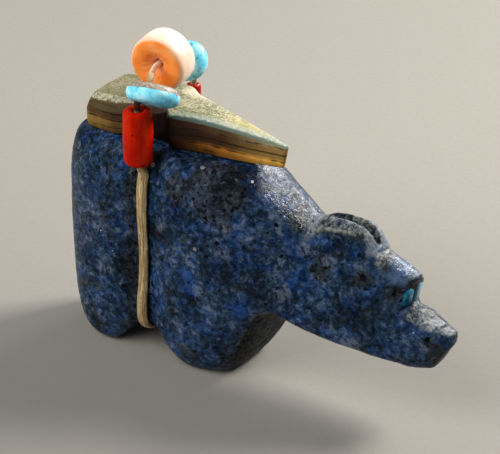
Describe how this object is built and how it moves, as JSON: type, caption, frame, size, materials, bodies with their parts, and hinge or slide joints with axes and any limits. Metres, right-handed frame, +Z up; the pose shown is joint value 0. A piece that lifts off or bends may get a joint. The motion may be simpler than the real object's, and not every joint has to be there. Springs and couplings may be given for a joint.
{
  "type": "zuni fetish carving",
  "caption": "Small carved blue stone bear with inlaid eyes and an offering bundle: a layered stone arrowhead with coral, turquoise and shell beads, tied on with sinew.",
  "frame": {"origin": "middle of the object's box, on the ground", "axes": "+X from rump to nose, +Y to the bear's left, +Z up"},
  "size_m": [0.0446, 0.0132, 0.0339],
  "materials": {
    "stone": "polished dark blue stone with grey, olive and black mottling",
    "inlay": "polished teal stone",
    "layered_stone": "chipped khaki stone with brown and amber layers on its sides",
    "coral": "polished red-orange coral",
    "turquoise": "polished sky-blue turquoise with a brown matrix edge",
    "shell": "satin orange and creamy white shell",
    "sinew": "waxed straw-coloured fibre"
  },
  "bodies": {
    "root": {"bear_body": "stone", "eye_inlay_right": "inlay", "eye_inlay_left": "inlay", "arrowhead": "layered_stone", "coral_bead_right": "coral", "coral_bead_left": "coral", "turquoise_bead_right": "turquoise", "turquoise_bead_left": "turquoise", "shell_bead": "shell", "sinew_binding": "sinew"}
  },
  "joints": []
}
